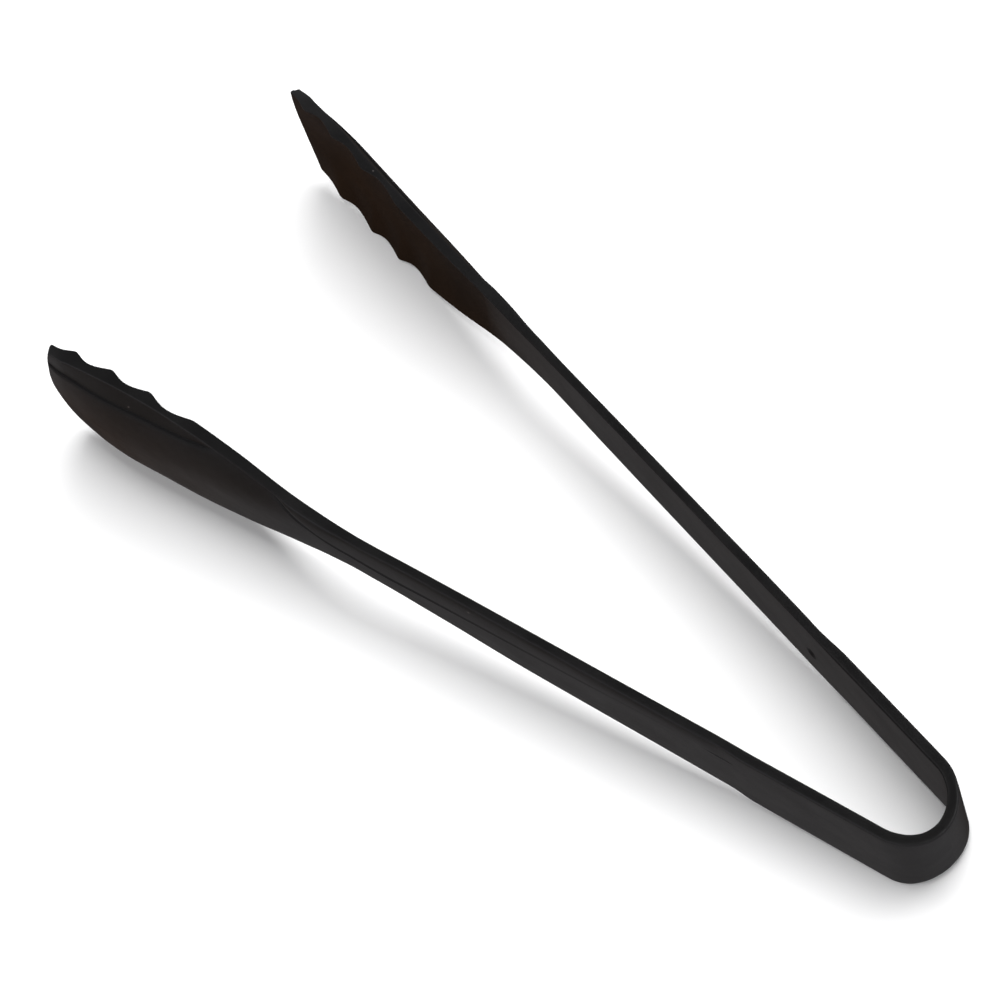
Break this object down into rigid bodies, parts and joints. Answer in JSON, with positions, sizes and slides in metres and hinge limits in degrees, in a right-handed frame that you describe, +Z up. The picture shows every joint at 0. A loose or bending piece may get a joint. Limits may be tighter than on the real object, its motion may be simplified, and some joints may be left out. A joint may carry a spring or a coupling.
{
  "type": "spring kitchen tongs",
  "caption": "Moulded plastic spring tongs: a U-shaped bow, flat V arms and shallow scoop jaws with scalloped rims, lying on edge.",
  "frame": {"origin": "on the floor below the middle of the object's box, in the pose that it rests in on its edge", "axes": "+X towards the jaws, +Y towards the left arm, +Z up across the strap's width. The strap's own width axis leans 2.9 degrees back from +Z, because the jaws are wider than the bow that the tongs also rest on"},
  "size_m": [0.229, 0.087, 0.0465],
  "materials": {
    "bow_crown": "satin black",
    "left_spring_leg": "satin black",
    "left_arm": "satin black",
    "left_jaw": "satin black",
    "right_spring_leg": "satin black",
    "right_arm": "satin black",
    "right_jaw": "satin black"
  },
  "bodies": {
    "bow": {"bow_crown": "bow_crown"},
    "left_leg": {"left_spring_leg": "left_spring_leg"},
    "left_arm": {"left_arm": "left_arm", "left_jaw": "left_jaw"},
    "right_leg": {"right_spring_leg": "right_spring_leg"},
    "right_arm": {"right_arm": "right_arm", "right_jaw": "right_jaw"}
  },
  "joints": [
    {"name": "left_bow_flex", "type": "hinge", "parent": "bow", "child": "left_leg", "pos_m": [-0.10436, 0.00974, 0.01335], "axis": [0.0504, 0, -0.9987], "range_deg": [0, 7.8], "stiffness_Nm_per_rad": 3},
    {"name": "left_leg_flex", "type": "hinge", "parent": "left_leg", "child": "left_arm", "pos_m": [-0.06792, 0.01529, 0.01519], "axis": [0.0504, 0, -0.9987], "range_deg": [0, 2.66], "stiffness_Nm_per_rad": 3},
    {"name": "right_bow_flex", "type": "hinge", "parent": "bow", "child": "right_leg", "pos_m": [-0.10436, -0.00974, 0.01335], "axis": [-0.0504, 0, 0.9987], "range_deg": [0, 7.8], "stiffness_Nm_per_rad": 3},
    {"name": "right_leg_flex", "type": "hinge", "parent": "right_leg", "child": "right_arm", "pos_m": [-0.06792, -0.01529, 0.01519], "axis": [-0.0504, 0, 0.9987], "range_deg": [0, 2.66], "stiffness_Nm_per_rad": 3}
  ],
  "couplings": [
    {"joint": "left_leg_flex", "follows": "left_bow_flex", "ratio": 0.341},
    {"joint": "right_bow_flex", "follows": "left_bow_flex", "ratio": 1},
    {"joint": "right_leg_flex", "follows": "left_bow_flex", "ratio": 0.341}
  ]
}
